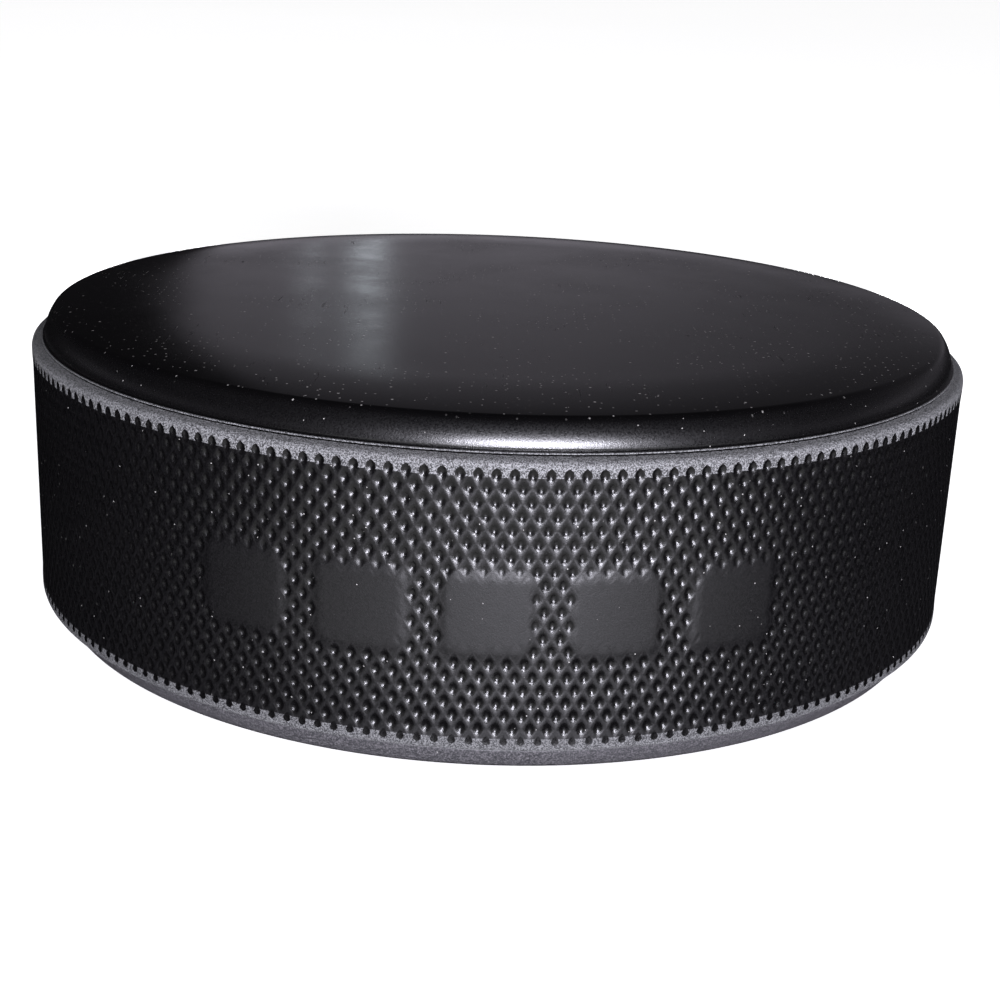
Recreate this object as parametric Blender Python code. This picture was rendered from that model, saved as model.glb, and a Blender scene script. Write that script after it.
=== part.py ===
"""Ice-hockey puck: one compression-moulded disc of vulcanised rubber, with no joints.

The disc stands on its lower face, centred on the Z axis, with that face at z = 0. The two
halves are mirror images about the mid-plane. From the middle of a face outwards the
half-section runs: flat face, slight crown drop, rounded edge, rounded shoulder wall, the fine
crease left where the mould's plates met, the ledge of the plain band, and the side wall.
"""

import math

import bmesh
import bpy

MM = 0.001

DIAMETER = 76.2 * MM
THICKNESS = 25.4 * MM
FLAT_RADIUS = 29.9 * MM  # the face is truly flat out to here
CROWN_RADIUS = 35.87 * MM  # the face droops a little between the flat and here
CROWN_DROP = 0.37 * MM
EDGE_ROUND = 0.86 * MM  # radius of the tight rounding at the rim of a face
EDGE_END = math.radians(54)  # the tight rounding stops with its normal this far from upright
WALL_ROUND = 3.40 * MM  # radius of the gently rounded shoulder wall
WALL_END = math.radians(84)
SHOULDER_HEIGHT = 2.58 * MM  # face plane down to the crease
CREASE_WIDTH = 0.10 * MM
CREASE_DEPTH = 0.16 * MM
LEDGE_DROP = 0.10 * MM  # fall of the ledge before it rounds into the side wall
LEDGE_ROUND = 0.42 * MM

CROWN_STEPS = 3
EDGE_STEPS = 4
WALL_STEPS = 3
LEDGE_STEPS = 3
TURN_STEPS = 96  # a multiple of four, so the extreme points lie on the X and Y axes
MERGE_DISTANCE = 0.00001 * MM
SHARP_ANGLE = math.radians(35)  # edges turning more than this stay crisp

RUBBER_COLOUR = (0.028, 0.027, 0.029, 1.0)
RUBBER_ROUGHNESS = 0.46

HALF_THICKNESS = THICKNESS / 2
SIDE_RADIUS = DIAMETER / 2


def crown_points():
    """Radius and height, from the mid-plane, of the drooping rim of a face."""
    points = []
    for step in range(1, CROWN_STEPS + 1):
        share = step / CROWN_STEPS
        radius = FLAT_RADIUS + share * (CROWN_RADIUS - FLAT_RADIUS)
        points.append((radius, HALF_THICKNESS - CROWN_DROP * share**2))
    return points


def arc_points(start, radius, first, last, steps):
    """Points along an arc that leaves `start`; angles are those of the normal from straight up."""
    centre = (start[0] - radius * math.sin(first), start[1] - radius * math.cos(first))
    points = []
    for step in range(1, steps + 1):
        angle = first + (last - first) * step / steps
        points.append((centre[0] + radius * math.sin(angle), centre[1] + radius * math.cos(angle)))
    return points


def shoulder_points():
    """The rim of a face and the shoulder wall: a tight rounding that opens into a gentle one."""
    slope = math.atan2(2 * CROWN_DROP, CROWN_RADIUS - FLAT_RADIUS)
    rim = (CROWN_RADIUS, HALF_THICKNESS - CROWN_DROP)
    points = arc_points(rim, EDGE_ROUND, slope, EDGE_END, EDGE_STEPS)
    return points + arc_points(points[-1], WALL_ROUND, EDGE_END, WALL_END, WALL_STEPS)


def crease_points(wall_end):
    """The foot of the shoulder wall and the fine V-shaped crease below it."""
    foot_height = HALF_THICKNESS - SHOULDER_HEIGHT
    foot_radius = wall_end[0] + (wall_end[1] - foot_height) / math.tan(WALL_END)
    return [
        (foot_radius, foot_height),
        (foot_radius - CREASE_DEPTH, foot_height - CREASE_WIDTH / 2),
        (foot_radius, foot_height - CREASE_WIDTH),
    ]


def ledge_points(crease_end):
    """The ledge of the plain band, rounding over into the upright side wall."""
    start = (SIDE_RADIUS - LEDGE_ROUND, crease_end[1] - LEDGE_DROP)
    return [start] + arc_points(start, LEDGE_ROUND, 0.0, math.pi / 2, LEDGE_STEPS)


def half_outline():
    """The upper half-section, from the middle of the face to the side wall."""
    points = [(0.0, HALF_THICKNESS), (FLAT_RADIUS, HALF_THICKNESS)]
    points += crown_points()
    points += shoulder_points()
    points += crease_points(points[-1])
    points += ledge_points(points[-1])
    return points


def full_outline():
    """The whole half-section from the top axis point round to the bottom one."""
    upper = half_outline()
    lower = [(radius, -height) for radius, height in reversed(upper)]
    return [(radius, HALF_THICKNESS + height) for radius, height in upper + lower]


def turned_mesh(name, outline):
    """The outline spun once round the Z axis into a closed mesh."""
    shape = bmesh.new()
    verts = [shape.verts.new((radius, 0.0, height)) for radius, height in outline]
    edges = [shape.edges.new(pair) for pair in zip(verts, verts[1:])]
    bmesh.ops.spin(
        shape,
        geom=verts + edges,
        cent=(0.0, 0.0, 0.0),
        axis=(0.0, 0.0, 1.0),
        angle=math.tau,
        steps=TURN_STEPS,
    )
    bmesh.ops.remove_doubles(shape, verts=shape.verts[:], dist=MERGE_DISTANCE)
    bmesh.ops.recalc_face_normals(shape, faces=shape.faces[:])
    mesh = bpy.data.meshes.new(name)
    shape.to_mesh(mesh)
    shape.free()
    return mesh


def rubber_material():
    """Black vulcanised rubber with a satin moulded skin."""
    material = bpy.data.materials.new("vulcanised_rubber")
    material.use_nodes = True
    shader = material.node_tree.nodes["Principled BSDF"]
    shader.inputs["Base Color"].default_value = RUBBER_COLOUR
    shader.inputs["Roughness"].default_value = RUBBER_ROUGHNESS
    shader.inputs["Metallic"].default_value = 0.0
    return material


def build_puck():
    mesh = turned_mesh("puck_body", full_outline())
    mesh.materials.append(rubber_material())
    puck = bpy.data.objects.new("puck_body", mesh)
    bpy.context.scene.collection.objects.link(puck)
    mesh.shade_smooth()
    mesh.set_sharp_from_angle(angle=SHARP_ANGLE)
    return puck


for old in list(bpy.data.objects):
    bpy.data.objects.remove(old, do_unlink=True)
build_puck()
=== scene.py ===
"""Looks of the ice-hockey puck: knurled rubber skin, floor, backdrop, lights and camera."""

import math

import bmesh
import bpy
from mathutils import Matrix, Vector, noise


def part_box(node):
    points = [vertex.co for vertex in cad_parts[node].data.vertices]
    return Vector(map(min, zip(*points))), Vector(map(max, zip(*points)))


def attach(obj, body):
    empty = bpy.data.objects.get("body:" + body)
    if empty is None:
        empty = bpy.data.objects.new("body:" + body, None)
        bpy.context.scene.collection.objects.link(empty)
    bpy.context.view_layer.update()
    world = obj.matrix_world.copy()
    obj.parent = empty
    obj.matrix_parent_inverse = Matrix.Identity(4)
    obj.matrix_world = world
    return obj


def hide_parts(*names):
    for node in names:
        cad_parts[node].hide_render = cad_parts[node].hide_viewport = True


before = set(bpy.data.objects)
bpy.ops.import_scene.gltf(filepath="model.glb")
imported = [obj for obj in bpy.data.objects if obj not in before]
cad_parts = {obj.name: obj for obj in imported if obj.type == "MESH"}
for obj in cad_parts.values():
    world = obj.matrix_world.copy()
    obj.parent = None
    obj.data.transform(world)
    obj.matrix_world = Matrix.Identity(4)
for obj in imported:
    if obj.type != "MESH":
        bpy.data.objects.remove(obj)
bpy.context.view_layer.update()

MM = 0.001

# Size from the frame
BOX_LOW, BOX_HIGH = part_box("puck_body")
SIDE_RADIUS = (BOX_HIGH[0] - BOX_LOW[0]) / 2
THICKNESS = BOX_HIGH[2] - BOX_LOW[2]
MIDDLE = THICKNESS / 2

# Turned outline: close to the CAD body's, but with more steps round the axis, a slightly wider
# and deeper crease, a thin lip over it, and a lower shoulder that is less high than the upper
INNER_RADIUS = 28.0 * MM  # the fan of triangles in the middle of a face ends here
FLAT_RADIUS = 29.9 * MM  # the face is truly flat out to here
CROWN_RADIUS = 35.87 * MM  # the face droops a little between the flat and here
CROWN_DROP = 0.37 * MM
# Each arc: radius, angles of the outward normal above the horizontal in degrees, and steps
SHOULDER_ARCS = ((0.86 * MM, 83, 36, 5), (3.4 * MM, 36, 8, 4), (0.35 * MM, 8, -22, 2))
CREASE_RADIUS = 37.30 * MM
SHOULDER_HEIGHT = 2.58 * MM  # face plane down to the crease
LIP_RISE = 0.13 * MM
LIP_EDGE_RISE = 0.6 * LIP_RISE  # the outer edge of the lip is rounded off
LIP_IN = 0.17 * MM
LIP_OUT = 0.04 * MM
CREASE_WIDTH = 0.14 * MM
CREASE_DEPTH = 0.22 * MM
LEDGE_DROP = 0.10 * MM  # fall of the ledge before it rounds into the side wall
UPPER_LEDGE_ROUND = 0.42 * MM
LOWER_LEDGE_ROUND = 0.20 * MM
LOWER_SQUEEZE = 0.84  # height of the lower shoulder over that of the upper one
CROWN_STEPS = 2
LEDGE_STEPS = 3
SHARP_ANGLE = math.radians(60)  # edges turning more than this stay crisp

FRONT = -math.pi / 2  # angle of the side that faces the camera

# Knurling: rows of dimples, each row half a step round from the last
KNURL_OFFSET = 0.0052  # radians from the front to the nearest dimple of the first row
KNURL_START = FRONT + KNURL_OFFSET
DIMPLES_PER_ROW = 208
TURN = 2 * DIMPLES_PER_ROW  # steps round the puck
ROWS = 21
FIRST_ROW = THICKNESS - 3.78 * MM
ROW_PITCH = 0.928 * MM
UPPER_EDGE = THICKNESS - 3.95 * MM  # the sunk ground of the knurling lies between these heights
LOWER_EDGE = 3.30 * MM
EDGE_SOFT = 0.2 * MM
GROUND_DEPTH = 0.04 * MM
DIMPLE_HALF_WIDTH = 0.32 * MM
DIMPLE_HALF_HEIGHT = 0.50 * MM
DIMPLE_DEPTH = 0.17 * MM
LAST_ROW_DEPTH = 0.15  # depth and width of the partial last row over those of a full row
LAST_ROW_WIDTH = 0.75
LAST_ROW_UP = 0.38 * MM
LAST_ROW_DOWN = 0.20 * MM
RING_GAP = 0.03 * MM  # from the last ring of the outline to the straight ring of the knurling
FOOT_DIAGONAL = 0.67
# Corners of a dimple's rim as shares of its half width and half height, from the right
DIMPLE_CORNERS = ((1, 0), (FOOT_DIAGONAL, FOOT_DIAGONAL), (0, 1), (-FOOT_DIAGONAL, FOOT_DIAGONAL),
                  (-1, 0), (-FOOT_DIAGONAL, -FOOT_DIAGONAL), (0, -1),
                  (FOOT_DIAGONAL, -FOOT_DIAGONAL))
MID_SCALE = 0.60  # size and depth of the ring between a dimple's rim and its base
MID_DEPTH = 0.60
FOOT_RELIEF = 0.4  # the "relief" attribute at the rim and middle ring; it is 1 at the base
MID_RELIEF = 0.8
DEPTH_WOBBLE = 0.16  # share by which a dimple's depth may differ
WOBBLE_ROUND = 40  # noise cells per radian round the side
WOBBLE_UP = 900  # noise cells per metre up the side
WOBBLE_SLICE = 1.7

# Blank pads in the middle of the front
PAD_COUNT = 5
PAD_WIDTH = 6.0 * MM
PAD_PITCH = 8.5 * MM
PAD_LOW = 9.1 * MM
PAD_HIGH = 15.1 * MM
PAD_RISE = 0.10 * MM
PAD_CORNER = 1.1 * MM
PAD_SOFT = 0.7 * MM
PAD_CLEAR = 0.5  # no dimple where the pad's share is this or more

# Zones of the rubber. Each fade is where one zone gives way to the next
CRISP = 0.03 * MM
FACE_FADE = (36.2 * MM, 36.6 * MM)  # radii
LOWER_SHOULDER_FADE = (2.30 * MM, 2.36 * MM)  # heights
DIMPLE_FADE = (0.28, 0.40)  # of the "relief" attribute

# Grain of the rubber: noise scales are cells per metre
FINE_SCALE = 14000.0
GRAIN_SCALE = 8000.0
PATCH_SCALE = 900.0
CLOUD_SCALE = 120.0
STREAK_SCALE = 3400.0
STREAK_TURN = 0.6
STREAK_SQUASH = 0.08
STREAK_FADE = (0.64, 0.70)
SCRATCHED_CLOUD = (0.52, 0.62)  # where the scratches gather
SPECK_FADE = 0.04
# Dust: cells per metre, size over that of a cell, and share of the cells without a speck
SIDE_DUST = (1400.0, 0.08, 0.45)
FACE_DUST = (1300.0, 0.11, 0.70)
LARGE_DUST = (300.0, 0.035, 0.80)
DUSTY_CLOUD = (0.42, 0.58)  # where the dust gathers
LEAST_DUST = 0.1
DUST_COVER = 0.8
SALT_FADE = (0.43, 0.59)  # pale grains of the plain bands
# Painted shade: fewer pale grains low down make the lower band darker than the upper one
SALT_SHADE_HEIGHTS = (3.5 * MM, 20 * MM)
LOWER_BAND_SHADE = 0.60

# Linear colours of the rubber
DUST_COLOUR = (0.30, 0.29, 0.28, 1)
BAND_COLOURS = ((0.016, 0.016, 0.017, 1), (0.165, 0.166, 0.170, 1))
POLISHED_COLOURS = ((0.0008, 0.0008, 0.0010, 1), (0.0022, 0.0020, 0.0021, 1))
GROUND_COLOURS = ((0.0006, 0.0006, 0.0008, 1), (0.0045, 0.0042, 0.0046, 1))
# Lower shoulder: lighter partly from real wear and partly as a painted reflection of the pale floor
# below
WORN_SHEEN_COLOURS = ((0.018, 0.018, 0.020, 1), (0.086, 0.082, 0.088, 1))
WORN_SHEEN_FADE = (0.4, 0.7)
NOISE_SPAN = (0.3, 0.7)  # the values that most of a noise lies between

# Roughness, gloss and bump of the rubber
FACE_ROUGH = (0.17, 0.23)
SCRATCH_ROUGH = 0.25
SHOULDER_ROUGH = (0.24, 0.36)
GROUND_ROUGH = (0.46, 0.36)  # at the bottom and the top of the side
GROUND_HEIGHTS = (5 * MM, 20 * MM)
GROUND_ROUGH_GRAIN = (-0.05, 0.05)
PAD_ROUGH = 0.43
BAND_ROUGH = 0.70
POLISHED_GLOSS = 0.5
KNURLED_GLOSS = 0.27
RUBBER_IOR = 1.52
GRAIN_BUMP = (0.55, 0.10)  # off the face and on it, as in the next two
FINE_BUMP = (0.4, 0.1)
PATCH_BUMP = (0.6, 0.0)
BAND_BUMP = 1.5
SCRATCH_BUMP = 0.5
BUMP_DEPTH = 0.012 * MM

# Floor and backdrop
FLOOR_COLOURS = ((0.86, 0.86, 0.865, 1), (0.90, 0.90, 0.90, 1))
FLOOR_NOISE = 3.0
FLOOR_ROUGH = 0.85
FLOOR_GLOW = 0.72
FLOOR_REACH = 6.0
FLOOR_STEPS = 12
FLOOR_LEVEL = -0.02 * MM
BACKDROP_RADIUS = 5.5
BACKDROP_LOW = -0.01
BACKDROP_HIGH = 3.0
BACKDROP_STEPS = 48

# Light colours
WHITE = (1.0, 1.0, 1.0)
KEY_TINT = (0.90, 0.89, 1.0)
REAR_TINT = (0.85, 0.93, 1.0)
WORLD_COLOUR = (0.93, 0.88, 1.0, 1)
CARD_STRENGTH = 0.255
RING_STRENGTH = 0.25
DIM_STRENGTHS = (0.004, 0.012)  # below the horizon and above it

# Camera, fitted to the rims in the photograph; angles in radians
CAMERA_PLACE = (0.0, -137.85 * MM, 52.42 * MM)
CAMERA_YAW = 0.0047
CAMERA_PITCH = 0.3144
CAMERA_ROLL = 0.0419
LENS = 59.77
SENSOR = 36.0
CLIP_START = 1 * MM


def smooth(low, high, value):
    """0 at `low`, 1 at `high`, with an even start and finish between."""
    share = min(1.0, max(0.0, (value - low) / (high - low)))
    return share * share * (3 - 2 * share)


def add_arc(points, spot, radius, first, last, steps):
    """Arc of the outline; its angles are those of the outward normal above the horizontal."""
    for step in range(1, steps + 1):
        angle = first + (last - first) * step / steps
        points.append((spot[0] + radius * (math.cos(angle) - math.cos(first)),
                       spot[1] - radius * (math.sin(angle) - math.sin(first))))
    return points[-1]


def half_outline(squeeze, ledge_round):
    """Radius and depth below the face, from the face's centre ring out to the side wall."""
    points = [(INNER_RADIUS, 0.0), (FLAT_RADIUS, 0.0)]
    for step in range(1, CROWN_STEPS + 1):
        share = step / CROWN_STEPS
        radius = FLAT_RADIUS + share * (CROWN_RADIUS - FLAT_RADIUS)
        points.append((radius, CROWN_DROP * share**2))
    spot = points[-1]
    for radius, first, last, steps in SHOULDER_ARCS:
        spot = add_arc(points, spot, radius, math.radians(first), math.radians(last), steps)
    points.append((CREASE_RADIUS - LIP_IN, SHOULDER_HEIGHT - LIP_RISE))
    points.append((CREASE_RADIUS + LIP_OUT, SHOULDER_HEIGHT - LIP_EDGE_RISE))
    points.append((CREASE_RADIUS + LIP_OUT, SHOULDER_HEIGHT))
    points.append((CREASE_RADIUS - CREASE_DEPTH, SHOULDER_HEIGHT + CREASE_WIDTH / 2))
    points.append((CREASE_RADIUS, SHOULDER_HEIGHT + CREASE_WIDTH))
    outline = []
    for radius, drop in points:
        outline.append((radius, drop - (1 - squeeze) * min(drop, SHOULDER_HEIGHT)))
    ledge = outline[-1][1] + LEDGE_DROP + ledge_round
    for step in range(LEDGE_STEPS + 1):
        angle = math.pi / 2 * step / LEDGE_STEPS
        outline.append((SIDE_RADIUS - ledge_round * (1 - math.sin(angle)),
                        ledge - ledge_round * math.cos(angle)))
    return outline


def pad_share(angle, height):
    """How far inside a blank pad a place on the side is, from 0 outside to 1 well inside."""
    turned = (angle - FRONT + math.pi) % (2 * math.pi) - math.pi
    along = turned * SIDE_RADIUS + (PAD_COUNT - 1) / 2 * PAD_PITCH
    nearest = min(PAD_COUNT - 1, max(0, round(along / PAD_PITCH)))
    across = abs(along - nearest * PAD_PITCH) - (PAD_WIDTH / 2 - PAD_CORNER)
    up = abs(height - (PAD_LOW + PAD_HIGH) / 2) - ((PAD_HIGH - PAD_LOW) / 2 - PAD_CORNER)
    outside = math.hypot(max(across, 0.0), max(up, 0.0)) + min(max(across, up), 0.0) - PAD_CORNER
    return smooth(PAD_SOFT / 2, -PAD_SOFT / 2, outside) if outside < PAD_SOFT else 0.0


def wall_radius(angle, height):
    """Radius of the side between the dimples."""
    inside = min(UPPER_EDGE - height, height - LOWER_EDGE)
    ground = GROUND_DEPTH * smooth(-EDGE_SOFT, EDGE_SOFT, inside)
    return SIDE_RADIUS - ground + PAD_RISE * pad_share(angle, height)


def place(radius, angle, height):
    return (radius * math.cos(angle), radius * math.sin(angle), height)


class Skin:
    """The mesh in the making, with its two shader attributes."""

    def __init__(self):
        self.mesh = bmesh.new()
        self.relief = self.mesh.verts.layers.float.new("relief")
        self.pad = self.mesh.verts.layers.float.new("pad")

    def vertex(self, radius, angle, height, relief=0.0, pad=0.0):
        made = self.mesh.verts.new(place(radius, angle, height))
        made[self.relief] = relief
        made[self.pad] = pad
        return made

    def ring(self, radius, height):
        return [self.vertex(radius, angle_of(step), height) for step in range(TURN)]

    def strip(self, upper, lower):
        for step in range(TURN):
            after = (step + 1) % TURN
            self.mesh.faces.new((upper[step], lower[step], lower[after], upper[after]))

    def cap(self, height, ring, upward):
        centre = self.vertex(0.0, 0.0, height)
        for step in range(TURN):
            after = (step + 1) % TURN
            corners = (centre, ring[step], ring[after])
            self.mesh.faces.new(corners if upward else corners[::-1])


def angle_of(step):
    return KNURL_START + 2 * math.pi * step / TURN


def side_vertex(skin, step, height):
    angle = angle_of(step)
    return skin.vertex(wall_radius(angle, height), angle, height, 0.0, pad_share(angle, height))


def knurl(skin, top_ring, bottom_ring):
    """Rows of dimples between two straight rings; their diamond tiles share corners."""
    heights = [FIRST_ROW - ROW_PITCH * row for row in range(ROWS)]
    top, bottom = top_ring[0].co.z, bottom_ring[0].co.z
    corners = [{step: side_vertex(skin, step, height) for step in range((row + 1) % 2, TURN, 2)}
               for row, height in enumerate(heights)]
    for row, height in enumerate(heights):
        above = corners[row - 1] if row > 0 else top_ring
        below = corners[row + 1] if row < ROWS - 1 else bottom_ring
        if row < ROWS - 1:
            size = (DIMPLE_HALF_WIDTH, min(DIMPLE_HALF_HEIGHT, top - height - RING_GAP),
                    DIMPLE_HALF_HEIGHT, DIMPLE_DEPTH)
        else:
            size = (DIMPLE_HALF_WIDTH * LAST_ROW_WIDTH, LAST_ROW_UP,
                    min(LAST_ROW_DOWN, height - bottom - RING_GAP), DIMPLE_DEPTH * LAST_ROW_DEPTH)
        for step in range(row % 2, TURN, 2):
            tile = (corners[row][(step + 1) % TURN], above[step],
                    corners[row][(step - 1) % TURN], below[step])
            dimple(skin, tile, angle_of(step), height, size)
    for step in range(1, TURN, 2):
        fan(skin, top_ring[step],
            (top_ring[step - 1], corners[0][step], top_ring[(step + 1) % TURN]))
    for step in range(ROWS % 2, TURN, 2):
        fan(skin, bottom_ring[step],
            (bottom_ring[(step + 1) % TURN], corners[ROWS - 1][step], bottom_ring[step - 1]))


def fan(skin, hub, rim):
    for first, second in zip(rim, rim[1:]):
        skin.mesh.faces.new((hub, first, second))


def dimple(skin, tile, angle, height, size):
    """One dimple inside its four-cornered tile, or flat rubber where a pad is."""
    half_width, up, down, depth = size
    inside = pad_share(angle, height)
    share = 1.0 - inside if inside < PAD_CLEAR else 0.0
    wobble = noise.noise(Vector((angle * WOBBLE_ROUND, height * WOBBLE_UP, WOBBLE_SLICE)))
    sink = depth * share * (1 + DEPTH_WOBBLE * wobble)
    rings = []
    for scale, lift, relief in ((1.0, 0.0, FOOT_RELIEF), (MID_SCALE, MID_DEPTH, MID_RELIEF)):
        made = []
        for across, along in DIMPLE_CORNERS:
            spot = angle + across * scale * half_width / SIDE_RADIUS
            level = height + along * scale * (up if along > 0 else down)
            radius = wall_radius(spot, level) - lift * sink
            made.append(skin.vertex(radius, spot, level, relief * share, pad_share(spot, level)))
        rings.append(made)
    foot, middle = rings
    base = skin.vertex(wall_radius(angle, height) - sink, angle, height, share, inside)
    for index in range(len(foot)):
        after = (index + 1) % len(foot)
        skin.mesh.faces.new((foot[index], foot[after], middle[after], middle[index]))
        skin.mesh.faces.new((middle[index], middle[after], base))
    for index in range(len(tile)):
        after = (index + 1) % len(tile)
        diagonal = foot[2 * index + 1]
        skin.mesh.faces.new((tile[index], diagonal, foot[2 * index]))
        skin.mesh.faces.new((tile[index], tile[after], diagonal))
        skin.mesh.faces.new((tile[after], foot[2 * after], diagonal))


def build_skin():
    """The whole skin: turned faces, shoulders and bands first, then the knurled side."""
    skin = Skin()
    upper = [skin.ring(radius, THICKNESS - drop)
             for radius, drop in half_outline(1.0, UPPER_LEDGE_ROUND)]
    lower = [skin.ring(radius, drop)
             for radius, drop in half_outline(LOWER_SQUEEZE, LOWER_LEDGE_ROUND)]
    for first, second in zip(upper, upper[1:]):
        skin.strip(first, second)
    for first, second in zip(lower, lower[1:]):
        skin.strip(second, first)
    skin.cap(THICKNESS, upper[0], True)
    skin.cap(0.0, lower[0], False)
    top_ring = skin.ring(SIDE_RADIUS, upper[-1][0].co.z - RING_GAP)
    bottom_ring = skin.ring(SIDE_RADIUS, lower[-1][0].co.z + RING_GAP)
    skin.strip(upper[-1], top_ring)
    skin.strip(bottom_ring, lower[-1])
    turned = len(skin.mesh.faces)
    knurl(skin, top_ring, bottom_ring)
    for index, face in enumerate(skin.mesh.faces):
        face.smooth = True
        face.material_index = 1 if index >= turned else 0
    mesh = bpy.data.meshes.new("puck_skin")
    skin.mesh.to_mesh(mesh)
    skin.mesh.free()
    mesh.set_sharp_from_angle(angle=SHARP_ANGLE)
    skin_object = bpy.data.objects.new("puck_skin", mesh)
    bpy.context.scene.collection.objects.link(skin_object)
    return skin_object


class Nodes:
    """Short hand for building a shader tree."""

    def __init__(self, tree):
        self.tree = tree

    def add(self, kind, inputs=None, **settings):
        node = self.tree.nodes.new(kind)
        for name, value in settings.items():
            setattr(node, name, value)
        for name, value in (inputs or {}).items():
            self.feed(node.inputs[name], value)
        return node

    def feed(self, socket, value):
        if isinstance(value, bpy.types.NodeSocket):
            self.tree.links.new(value, socket)
        else:
            socket.default_value = value

    def math(self, operation, *values):
        node = self.tree.nodes.new("ShaderNodeMath")
        node.operation = operation
        for socket, value in zip(node.inputs, values):
            self.feed(socket, value)
        return node.outputs["Value"]

    def ramp(self, value, low, high, to_low=0.0, to_high=1.0):
        node = self.add("ShaderNodeMapRange", interpolation_type="SMOOTHSTEP")
        self.feed(node.inputs["Value"], value)
        node.inputs["From Min"].default_value = low
        node.inputs["From Max"].default_value = high
        node.inputs["To Min"].default_value = to_low
        node.inputs["To Max"].default_value = to_high
        return node.outputs["Result"]

    def noise(self, vector, scale, detail=2.0, roughness=0.5):
        node = self.add("ShaderNodeTexNoise")
        self.feed(node.inputs["Vector"], vector)
        node.inputs["Scale"].default_value = scale
        node.inputs["Detail"].default_value = detail
        node.inputs["Roughness"].default_value = roughness
        return node.outputs["Fac"]

    def specks(self, vector, dimensions, scale, size, rarity):
        """Dots in some of the cells; `size` is over that of a cell, `rarity` the share left out."""
        cells = self.add("ShaderNodeTexVoronoi", {"Vector": vector}, voronoi_dimensions=dimensions)
        cells.inputs["Scale"].default_value = scale
        chance = self.add("ShaderNodeSeparateColor", {"Color": cells.outputs["Color"]})
        dots = self.ramp(cells.outputs["Distance"], size / 2, size, 1.0, 0.0)
        chosen = self.ramp(chance.outputs["Red"], rarity, rarity + SPECK_FADE)
        return self.math("MULTIPLY", dots, chosen)

    def mix(self, share, first, second):
        """Between two numbers; a Mix node has a socket for each type, so these go by place."""
        node = self.add("ShaderNodeMix", data_type="FLOAT")
        self.feed(node.inputs[0], share)
        self.feed(node.inputs[2], first)
        self.feed(node.inputs[3], second)
        return node.outputs[0]

    def mix_colour(self, share, first, second):
        """Between two colours."""
        node = self.add("ShaderNodeMix", data_type="RGBA")
        self.feed(node.inputs[0], share)
        self.feed(node.inputs[6], first)
        self.feed(node.inputs[7], second)
        return node.outputs[2]



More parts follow.
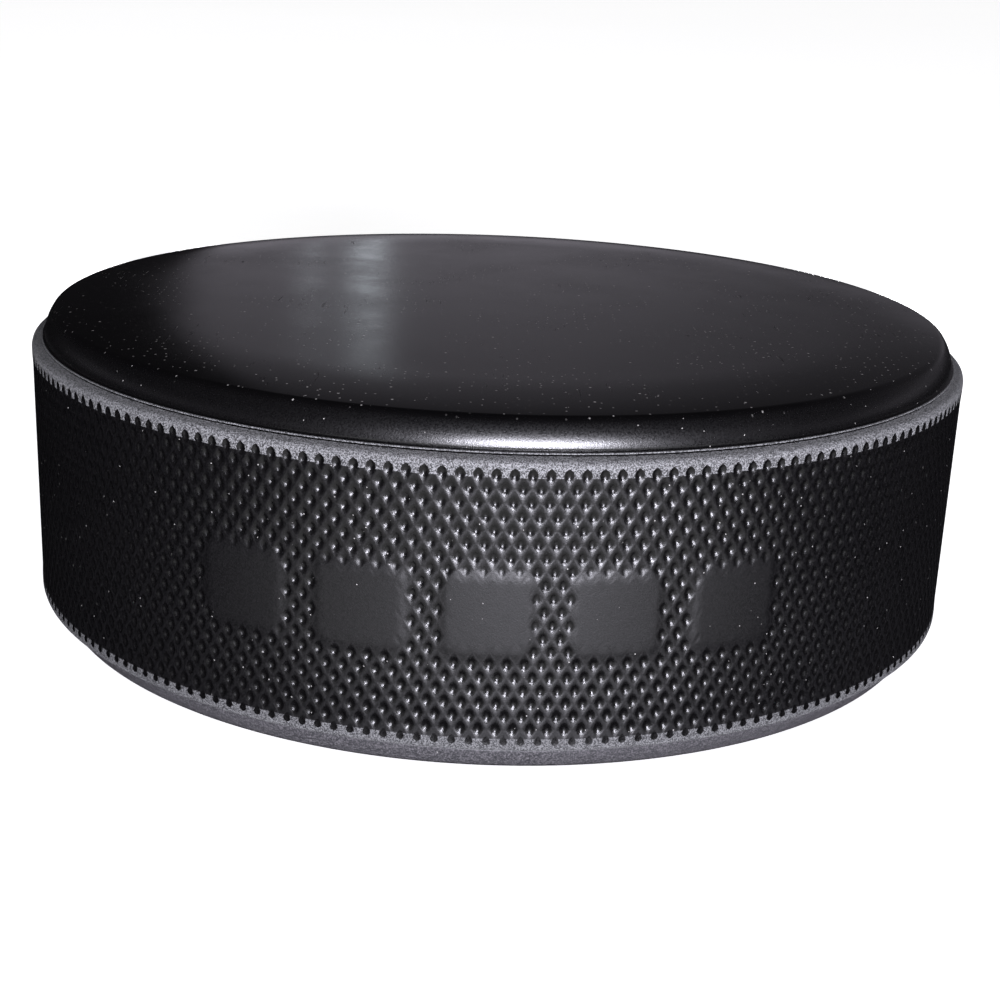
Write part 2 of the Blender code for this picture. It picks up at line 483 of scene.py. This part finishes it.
def rubber_material(name, gloss):
    """Black rubber: polished faces and shoulders, dull knurled side and grainy plain bands."""
    material = bpy.data.materials.new(name)
    material.use_nodes = True
    tree = material.node_tree
    shader = tree.nodes["Principled BSDF"]
    n = Nodes(tree)
    where = n.add("ShaderNodeTexCoord").outputs["Object"]
    split = n.add("ShaderNodeSeparateXYZ", {"Vector": where})
    x, y, z = split.outputs["X"], split.outputs["Y"], split.outputs["Z"]
    radius = n.math("SQRT", n.math("ADD", n.math("MULTIPLY", x, x), n.math("MULTIPLY", y, y)))
    relief = n.add("ShaderNodeAttribute", attribute_name="relief").outputs["Fac"]
    pad = n.add("ShaderNodeAttribute", attribute_name="pad").outputs["Fac"]

    # zones
    on_side = n.ramp(radius, CREASE_RADIUS - 2 * CRISP, CREASE_RADIUS - CRISP)
    over_low_band = n.ramp(z, LOWER_EDGE - CRISP, LOWER_EDGE + CRISP)
    under_high_band = n.ramp(z, UPPER_EDGE - CRISP, UPPER_EDGE + CRISP, 1.0, 0.0)
    between = n.math("MULTIPLY", over_low_band, under_high_band)
    sunk = n.ramp(relief, *DIMPLE_FADE)
    ground = n.math("MULTIPLY", between, n.math("SUBTRACT", 1.0, sunk))
    not_band = n.math("MAXIMUM", between, sunk)
    band = n.math("MULTIPLY", on_side, n.math("SUBTRACT", 1.0, not_band))
    face = n.ramp(radius, *FACE_FADE, 1.0, 0.0)
    bottom = n.ramp(z, *LOWER_SHOULDER_FADE, 1.0, 0.0)
    low = n.math("MULTIPLY", bottom, n.math("SUBTRACT", 1.0, face))

    # grain
    fine = n.noise(where, FINE_SCALE, detail=1.0)
    grain = n.noise(where, GRAIN_SCALE, detail=2.0, roughness=0.7)
    patch = n.noise(where, PATCH_SCALE, detail=3.0, roughness=0.6)
    cloud = n.noise(where, CLOUD_SCALE, detail=4.0, roughness=0.6)

    # scratches and dust
    squashed = n.add("ShaderNodeMapping", {"Vector": where}, vector_type="POINT")
    squashed.inputs["Rotation"].default_value = (0.0, 0.0, STREAK_TURN)
    squashed.inputs["Scale"].default_value = (1.0, STREAK_SQUASH, 1.0)
    streaks = n.noise(squashed.outputs["Vector"], STREAK_SCALE, detail=3.0, roughness=0.7)
    streaks = n.ramp(streaks, *STREAK_FADE)
    scratch = n.math("MULTIPLY", streaks, n.ramp(cloud, *SCRATCHED_CLOUD))
    side_dust = n.specks(where, "3D", *SIDE_DUST)
    face_dust = n.math("MULTIPLY", n.specks(where, "2D", *FACE_DUST), face)
    face_dust = n.math("MULTIPLY", face_dust, n.ramp(cloud, *DUSTY_CLOUD, LEAST_DUST, 1.0))
    large_dust = n.math("MULTIPLY", n.specks(where, "2D", *LARGE_DUST), face)
    dust = n.math("MAXIMUM", n.math("MAXIMUM", face_dust, large_dust), side_dust)

    # colour
    salt = n.ramp(n.mix(0.5, fine, grain), *SALT_FADE)
    # painted shade: the pale grains thin out towards the bottom
    salt = n.math("MULTIPLY", salt, n.ramp(z, *SALT_SHADE_HEIGHTS, LOWER_BAND_SHADE, 1.0))
    band_colour = n.mix_colour(salt, *BAND_COLOURS)
    polished = n.mix_colour(cloud, *POLISHED_COLOURS)
    dull = n.mix_colour(n.ramp(grain, *NOISE_SPAN), *GROUND_COLOURS)
    # lower shoulder lighter: real wear plus a painted reflection of the floor
    worn_sheen = n.mix_colour(n.ramp(grain, *WORN_SHEEN_FADE), *WORN_SHEEN_COLOURS)
    colour = n.mix_colour(ground, polished, dull)
    colour = n.mix_colour(low, colour, worn_sheen)
    colour = n.mix_colour(n.math("MULTIPLY", dust, DUST_COVER), colour, DUST_COLOUR)
    colour = n.mix_colour(band, colour, band_colour)
    tree.links.new(colour, shader.inputs["Base Color"])

    # roughness
    face_rough = n.ramp(cloud, *NOISE_SPAN, *FACE_ROUGH)
    face_rough = n.math("ADD", face_rough, n.math("MULTIPLY", scratch, SCRATCH_ROUGH))
    rough = n.mix(face, n.ramp(grain, *NOISE_SPAN, *SHOULDER_ROUGH), face_rough)
    ground_rough = n.ramp(grain, *NOISE_SPAN, *GROUND_ROUGH_GRAIN)
    ground_rough = n.math("ADD", ground_rough, n.ramp(z, *GROUND_HEIGHTS, *GROUND_ROUGH))
    rough = n.mix(ground, rough, ground_rough)
    rough = n.mix(n.math("MAXIMUM", low, pad), rough, PAD_ROUGH)
    rough = n.mix(band, rough, BAND_ROUGH)
    tree.links.new(rough, shader.inputs["Roughness"])

    # bump
    height = n.math("MULTIPLY", grain, n.mix(band, n.mix(face, *GRAIN_BUMP), BAND_BUMP))
    height = n.math("ADD", height, n.math("MULTIPLY", fine, n.mix(face, *FINE_BUMP)))
    height = n.math("ADD", height, n.math("MULTIPLY", patch, n.mix(face, *PATCH_BUMP)))
    face_scratch = n.math("MULTIPLY", scratch, n.math("MULTIPLY", face, SCRATCH_BUMP))
    height = n.math("ADD", height, face_scratch)
    bump = n.add("ShaderNodeBump", {"Height": height})
    bump.inputs["Strength"].default_value = 1.0
    bump.inputs["Distance"].default_value = BUMP_DEPTH
    tree.links.new(bump.outputs["Normal"], shader.inputs["Normal"])
    shader.inputs["IOR"].default_value = RUBBER_IOR
    shader.inputs["Specular IOR Level"].default_value = gloss
    return material


def floor_material():
    material = bpy.data.materials.new("pale_floor")
    material.use_nodes = True
    tree = material.node_tree
    shader = tree.nodes["Principled BSDF"]
    n = Nodes(tree)
    where = n.add("ShaderNodeTexCoord").outputs["Object"]
    tone = n.mix_colour(n.noise(where, FLOOR_NOISE, detail=3.0), *FLOOR_COLOURS)
    tree.links.new(tone, shader.inputs["Base Color"])
    shader.inputs["Roughness"].default_value = FLOOR_ROUGH
    shader.inputs["Emission Color"].default_value = (1.0, 1.0, 1.0, 1)
    shader.inputs["Emission Strength"].default_value = FLOOR_GLOW
    return material


def add_stage(name, made, material):
    """A stage piece from a bmesh, hidden from reflections."""
    mesh = bpy.data.meshes.new(name)
    made.to_mesh(mesh)
    made.free()
    mesh.materials.append(material)
    stage = bpy.data.objects.new(name, mesh)
    stage.visible_glossy = False
    bpy.context.scene.collection.objects.link(stage)
    return stage


def backdrop_ring(made, height):
    ring = []
    for step in range(BACKDROP_STEPS):
        angle = 2 * math.pi * step / BACKDROP_STEPS
        ring.append(made.verts.new(place(BACKDROP_RADIUS, angle, height)))
    return ring


def build_backdrop(material):
    """Pale wall far round the floor, seen by the camera only."""
    made = bmesh.new()
    low = backdrop_ring(made, BACKDROP_LOW)
    high = backdrop_ring(made, BACKDROP_HIGH)
    for step in range(BACKDROP_STEPS):
        after = (step + 1) % BACKDROP_STEPS
        made.faces.new((low[step], high[step], high[after], low[after]))
    backdrop = add_stage("backdrop", made, material)
    backdrop.visible_diffuse = False
    backdrop.visible_shadow = False


def build_floor(material):
    made = bmesh.new()
    marks = [FLOOR_REACH * (2 * step / FLOOR_STEPS - 1) for step in range(FLOOR_STEPS + 1)]
    grid = [[made.verts.new((x, y, FLOOR_LEVEL)) for x in marks] for y in marks]
    for j in range(FLOOR_STEPS):
        for i in range(FLOOR_STEPS):
            made.faces.new((grid[j][i], grid[j][i + 1], grid[j + 1][i + 1], grid[j + 1][i]))
    add_stage("floor", made, material)


def aim(thing, spot, target):
    thing.location = spot
    thing.rotation_euler = (Vector(target) - Vector(spot)).to_track_quat("-Z", "Y").to_euler()


def softbox(name, spot, target, width, height, radiance, tint=WHITE):
    light = bpy.data.lights.new(name, "AREA")
    light.shape = "RECTANGLE"
    light.size, light.size_y = width, height
    light.energy = radiance * math.pi * width * height
    light.color = tint
    made = bpy.data.objects.new(name, light)
    bpy.context.scene.collection.objects.link(made)
    made.visible_camera = False
    aim(made, spot, target)
    return made


def polar(distance, azimuth, elevation):
    """A place at a distance from the origin, azimuth in degrees from the front, towards +X."""
    side, rise = math.radians(azimuth), math.radians(elevation)
    return (distance * math.cos(rise) * math.sin(side),
            -distance * math.cos(rise) * math.cos(side), distance * math.sin(rise))


def studio_world():
    """Dim surroundings, bright in three places; ramps run along the unit direction's axes.

    The card stands behind the object and fades out to the left and overhead. The ring is low
    and goes round the rest of the horizon. The front patch hangs above it on the camera's side.
    """
    world = bpy.data.worlds.new("studio")
    world.use_nodes = True
    tree = world.node_tree
    n = Nodes(tree)
    background = tree.nodes["Background"]
    toward = n.add("ShaderNodeTexCoord").outputs["Generated"]
    split = n.add("ShaderNodeSeparateXYZ", {"Vector": toward})
    x, y, z = split.outputs["X"], split.outputs["Y"], split.outputs["Z"]
    above = n.ramp(z, low=-0.01, high=0.03)
    dimmed = n.ramp(z, low=0.13, high=0.225, to_low=1.4, to_high=0.46)
    fade = n.ramp(z, low=0.40, high=0.75, to_low=1.0, to_high=0.0)
    behind = n.ramp(y, low=0.0, high=0.5)
    not_left = n.ramp(x, low=-0.196, high=-0.178)
    less_right = n.ramp(x, low=-0.02, high=0.25, to_low=1.0, to_high=0.42)
    card = n.math("MULTIPLY", n.math("MULTIPLY", above, dimmed), n.math("MULTIPLY", fade, behind))
    card = n.math("MULTIPLY", card, n.math("MULTIPLY", not_left, less_right))
    ring_foot = n.ramp(z, low=-0.01, high=0.02)
    ring_top = n.ramp(z, low=0.09, high=0.14, to_low=1.0, to_high=0.0)
    ring = n.math("MULTIPLY", ring_foot, ring_top)
    ring = n.math("MULTIPLY", ring, n.ramp(y, low=0.3, high=0.7, to_low=1.0, to_high=0.0))
    front_side = n.ramp(y, low=-0.5, high=-0.2, to_low=1.0, to_high=0.0)
    front = n.math("MULTIPLY", front_side, n.ramp(x, low=-0.7, high=-0.4))
    front_foot = n.ramp(z, low=0.08, high=0.16)
    front_top = n.ramp(z, low=0.30, high=0.45, to_low=1.0, to_high=0.0)
    front = n.math("MULTIPLY", front, n.math("MULTIPLY", front_foot, front_top))
    card = n.math("MULTIPLY", card, CARD_STRENGTH)
    strength = n.math("ADD", card, n.ramp(z, -0.02, 0.05, *DIM_STRENGTHS))
    ring = n.math("MULTIPLY", n.math("MAXIMUM", ring, front), RING_STRENGTH)
    strength = n.math("ADD", strength, ring)
    background.inputs["Color"].default_value = WORLD_COLOUR
    tree.links.new(strength, background.inputs["Strength"])
    bpy.context.scene.world = world


def sky_light():
    """Broad soft light from above, kept out of reflections."""
    sun = bpy.data.lights.new("sky", "SUN")
    sun.energy = 0.9
    sun.angle = math.radians(70)
    made = bpy.data.objects.new("sky", sun)
    bpy.context.scene.collection.objects.link(made)
    made.visible_glossy = False
    aim(made, polar(distance=1.0, azimuth=0, elevation=70), (0, 0, 0))


def build_lights():
    """Lights; each radiance is of the softbox's own surface.

    The bounce lies on the floor in front and only shows in gloss. The low rear softbox is for
    views from behind. The three others at the rear are mirrored in the upper face.
    """
    centre = (0.0, 0.0, MIDDLE)
    softbox("key", polar(distance=0.80, azimuth=9, elevation=7.4), centre,
            width=0.36, height=0.065, radiance=250.0, tint=KEY_TINT)
    softbox("glow", polar(distance=0.85, azimuth=8, elevation=20), centre,
            width=0.7, height=0.20, radiance=0.08)
    bounce = softbox("bounce", (0.008, -0.137, 0.0005), (0.008, -0.137, 1.0),
                     width=0.11, height=0.18, radiance=1.1)
    bounce.visible_diffuse = False
    softbox("rear_low", (0.0, 0.15, 0.007), (0.0, 0.0, 0.007),
            width=0.12, height=0.010, radiance=50.0)
    softbox("rear_strip", (-0.125, 1.4, 0.262), centre,
            width=0.028, height=0.070, radiance=1.7, tint=REAR_TINT)
    softbox("rear_strip_top", (-0.125, 1.4, 0.335), centre,
            width=0.024, height=0.075, radiance=0.6, tint=REAR_TINT)
    softbox("rear_dash", (-0.178, 1.4, 0.266), centre,
            width=0.018, height=0.035, radiance=1.6, tint=REAR_TINT)
    sky_light()
    studio_world()
    bpy.context.scene.view_settings.view_transform = "Standard"


def build_camera():
    forward = Vector((math.sin(CAMERA_YAW) * math.cos(CAMERA_PITCH),
                      math.cos(CAMERA_YAW) * math.cos(CAMERA_PITCH), -math.sin(CAMERA_PITCH)))
    level = forward.cross(Vector((0, 0, 1))).normalized()
    upright = level.cross(forward)
    right = math.cos(CAMERA_ROLL) * level + math.sin(CAMERA_ROLL) * upright
    up = math.cos(CAMERA_ROLL) * upright - math.sin(CAMERA_ROLL) * level
    turn = Matrix((right, up, -forward)).transposed().to_4x4()
    turn.translation = CAMERA_PLACE
    camera = bpy.data.cameras.new("camera")
    camera.lens = LENS
    camera.sensor_width = SENSOR
    camera.clip_start = CLIP_START
    made = bpy.data.objects.new("camera", camera)
    bpy.context.scene.collection.objects.link(made)
    made.matrix_world = turn
    bpy.context.scene.camera = made


build_camera()
pale = floor_material()
build_floor(pale)
build_backdrop(pale)
skin = build_skin()
skin.data.materials.append(rubber_material("polished_rubber", POLISHED_GLOSS))
skin.data.materials.append(rubber_material("knurled_rubber", KNURLED_GLOSS))
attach(skin, "root")
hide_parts("puck_body")
build_lights()
